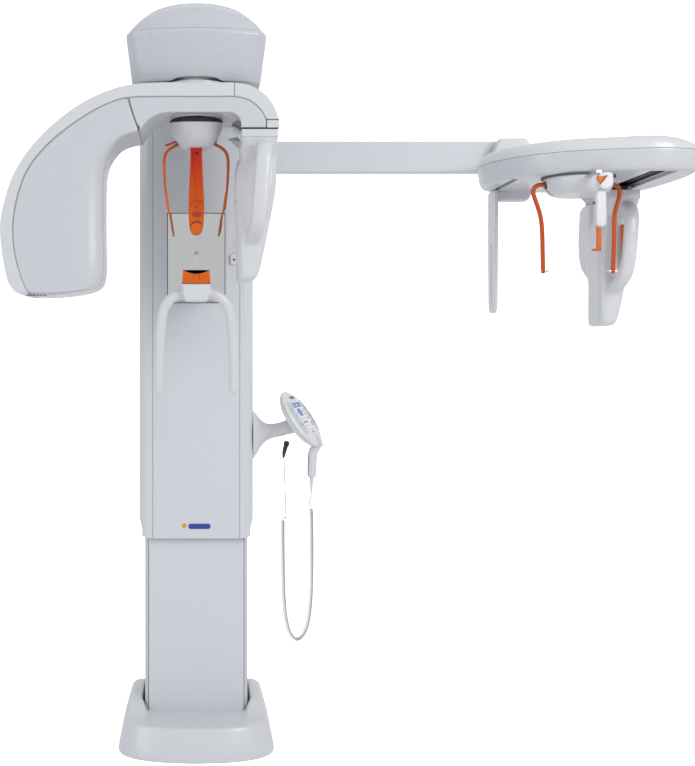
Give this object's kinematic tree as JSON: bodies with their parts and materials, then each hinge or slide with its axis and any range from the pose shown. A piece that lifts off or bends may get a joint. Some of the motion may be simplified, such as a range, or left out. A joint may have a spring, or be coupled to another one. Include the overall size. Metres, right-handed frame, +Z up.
{
  "type": "panoramic xray machine",
  "caption": "Dental panoramic x-ray machine: column with lifting carriage, rotating C-arm, head support, chin rest, control panel and a side arm for skull views.",
  "frame": {"origin": "floor level on the column's centre plane, at the centre of the fixed column's depth", "axes": "+Z up; +X towards the cephalometric side arm; -Y towards the patient and the front panel"},
  "size_m": [1.8914, 0.715, 2.1367],
  "materials": {
    "white_plastic": "smooth satin gloss",
    "grey_plastic": "smooth satin gloss",
    "white_metal": "satin powder coat",
    "column_metal": "satin powder coat",
    "dark_plastic": "matt",
    "steel": "machined",
    "aluminium": "machined",
    "lead_metal": "matt paint",
    "rubber_belt": "matt",
    "mirror_glass": "polished",
    "tube_glass": "clear",
    "orange_plastic": "translucent gloss",
    "red_plastic": "translucent gloss",
    "clear_plastic": "clear gloss",
    "screen_glass": "gloss",
    "cable_grey": "satin"
  },
  "bodies": {
    "base": {"base_plate": "steel", "base_cover": "white_plastic", "lower_column": "column_metal", "lower_front_panel": "white_metal", "lift_actuator_tube": "steel"},
    "carriage": {"upper_column_frame": "column_metal", "upper_front_panel": "white_metal", "side_cover_left": "grey_plastic", "side_cover_right": "grey_plastic", "mirror": "mirror_glass", "lift_actuator_rod": "steel", "top_housing": "grey_plastic", "top_dome": "white_plastic", "top_frame": "steel", "support_shaft": "dark_plastic", "head_support_cup": "white_plastic", "hinge_pins": "steel", "chin_rest_arm": "white_plastic", "hand_grips": "white_plastic", "console_bracket": "grey_plastic", "ceph_beam": "white_metal", "ceph_carrier": "grey_plastic", "ceph_lower_shell": "grey_plastic", "ceph_upper_shell": "white_plastic", "ceph_frame": "steel"},
    "y_stage": {"stage_plate": "aluminium", "rotation_motor": "dark_plastic", "drive_belt": "rubber_belt"},
    "motor_pulley": {"motor_pulley": "aluminium"},
    "carm": {"arm_frame": "white_metal", "arm_spine_cover": "white_plastic", "tubehead_cover": "grey_plastic", "beam_cover": "grey_plastic", "sensor_dock": "white_plastic", "tube_housing": "lead_metal", "xray_tube": "tube_glass"},
    "collimator": {"primary_collimator": "lead_metal"},
    "pan_sensor": {"pan_sensor": "white_plastic"},
    "pan_lever": {"pan_release_lever": "orange_plastic"},
    "forehead_rest": {"forehead_rest": "red_plastic"},
    "temple_left": {"temple_arm_left": "orange_plastic"},
    "temple_right": {"temple_arm_right": "orange_plastic"},
    "temple_lever": {"temple_lever": "orange_plastic"},
    "chin_cup": {"chin_cup": "orange_plastic"},
    "bite_stick": {"bite_stick": "clear_plastic"},
    "laser_slider": {"laser_slider": "white_plastic"},
    "console": {"console_shell": "white_plastic", "touch_screen": "screen_glass", "switch_cable": "cable_grey"},
    "hand_switch": {"hand_switch": "grey_plastic"},
    "exposure_button": {"exposure_button": "orange_plastic"},
    "ceph_carriage": {"ceph_carriage": "dark_plastic"},
    "ceph_sensor": {"ceph_sensor": "white_plastic"},
    "ceph_lever": {"ceph_release_lever": "orange_plastic"},
    "slit_collimator": {"slit_collimator": "aluminium"},
    "ear_rod_head": {"ear_rod_head": "white_plastic"},
    "ear_left": {"ear_rods_left": "orange_plastic"},
    "ear_right": {"ear_rods_right": "orange_plastic"},
    "nasion": {"nasion_bracket": "white_plastic", "nasion_rest": "orange_plastic"}
  },
  "joints": [
    {"name": "lift", "type": "slide", "parent": "base", "child": "carriage", "axis": [0, 0, 1], "range_m": [-0.28, 0.3]},
    {"name": "stage_shift", "type": "slide", "parent": "carriage", "child": "y_stage", "axis": [0, 1, 0], "range_m": [-0.005, 0.025]},
    {"name": "carm_rotation", "type": "hinge", "parent": "y_stage", "child": "carm", "pos_m": [0, -0.42, 1.9], "axis": [0, 0, 1], "range_deg": [-25, 205]},
    {"name": "motor_spin", "type": "hinge", "parent": "y_stage", "child": "motor_pulley", "pos_m": [0, -0.272, 1.95], "axis": [0, 0, 1], "range_deg": [-170, 1320]},
    {"name": "collimator_shift", "type": "slide", "parent": "carm", "child": "collimator", "axis": [0, 1, 0], "range_m": [-0.02, 0.02]},
    {"name": "pan_sensor_release", "type": "slide", "parent": "carm", "child": "pan_sensor", "axis": [0, -1, 0], "range_m": [0, 0.12]},
    {"name": "pan_lever_tilt", "type": "hinge", "parent": "pan_sensor", "child": "pan_lever", "pos_m": [0.174, -0.478, 1.668], "axis": [1, 0, 0], "range_deg": [-12, 0]},
    {"name": "forehead_tilt", "type": "hinge", "parent": "carriage", "child": "forehead_rest", "pos_m": [0, -0.442, 1.74], "axis": [1, 0, 0], "range_deg": [-18, 2]},
    {"name": "temple_lever_turn", "type": "hinge", "parent": "carriage", "child": "temple_lever", "pos_m": [-0.046, -0.387, 1.749], "axis": [0, 0, 1], "range_deg": [-8, 8]},
    {"name": "temple_left_swing", "type": "hinge", "parent": "carriage", "child": "temple_left", "pos_m": [-0.044, -0.42, 1.742], "axis": [0, 1, 0], "range_deg": [-6, 6]},
    {"name": "temple_right_swing", "type": "hinge", "parent": "carriage", "child": "temple_right", "pos_m": [0.044, -0.42, 1.742], "axis": [0, 1, 0], "range_deg": [-6, 6]},
    {"name": "chin_cup_lift", "type": "slide", "parent": "carriage", "child": "chin_cup", "axis": [0, 0, 1], "range_m": [0, 0.04]},
    {"name": "bite_stick_lift", "type": "slide", "parent": "carriage", "child": "bite_stick", "axis": [0, 0, 1], "range_m": [0, 0.03]},
    {"name": "laser_height", "type": "slide", "parent": "carriage", "child": "laser_slider", "axis": [0, 0, 1], "range_m": [0, 0.05]},
    {"name": "console_tilt", "type": "hinge", "parent": "carriage", "child": "console", "pos_m": [0.29399, -0.05181, 0.94704], "axis": [0.29, 0.957, 0], "range_deg": [-10, 10]},
    {"name": "hand_switch_lift", "type": "slide", "parent": "console", "child": "hand_switch", "axis": [0.7943, -0.2407, 0.5577], "range_m": [0, 0.06]},
    {"name": "exposure_press", "type": "slide", "parent": "hand_switch", "child": "exposure_button", "axis": [-0.7943, 0.2407, -0.5577], "range_m": [0, 0.0015]},
    {"name": "ceph_scan", "type": "slide", "parent": "carriage", "child": "ceph_carriage", "axis": [0, -1, 0], "range_m": [0, 0.29]},
    {"name": "slit_scan", "type": "slide", "parent": "carriage", "child": "slit_collimator", "axis": [0, -1, 0], "range_m": [0, 0.2295]},
    {"name": "ceph_sensor_release", "type": "slide", "parent": "ceph_carriage", "child": "ceph_sensor", "axis": [0, -1, 0], "range_m": [0, 0.1]},
    {"name": "ceph_lever_tilt", "type": "hinge", "parent": "ceph_sensor", "child": "ceph_lever", "pos_m": [1.283, -0.095, 1.555], "axis": [1, 0, 0], "range_deg": [-12, 0]},
    {"name": "ear_rod_head_turn", "type": "hinge", "parent": "carriage", "child": "ear_rod_head", "pos_m": [1.078, -0.32, 1.66], "axis": [0, 0, 1], "range_deg": [-35, 35]},
    {"name": "ear_left_slide", "type": "slide", "parent": "ear_rod_head", "child": "ear_left", "axis": [1, 0, 0], "range_m": [-0.01, 0.04]},
    {"name": "ear_right_slide", "type": "slide", "parent": "ear_rod_head", "child": "ear_right", "axis": [1, 0, 0], "range_m": [-0.04, 0.01]},
    {"name": "nasion_slide", "type": "slide", "parent": "ear_rod_head", "child": "nasion", "axis": [0, -1, 0], "range_m": [-0.02, 0.01]}
  ],
  "couplings": [
    {"joint": "motor_spin", "follows": "carm_rotation", "ratio": 6.4},
    {"joint": "temple_left_swing", "follows": "temple_lever_turn", "ratio": 0.75},
    {"joint": "temple_right_swing", "follows": "temple_lever_turn", "ratio": -0.75},
    {"joint": "slit_scan", "follows": "ceph_scan", "ratio": 0.79},
    {"joint": "ear_right_slide", "follows": "ear_left_slide", "ratio": -1}
  ]
}
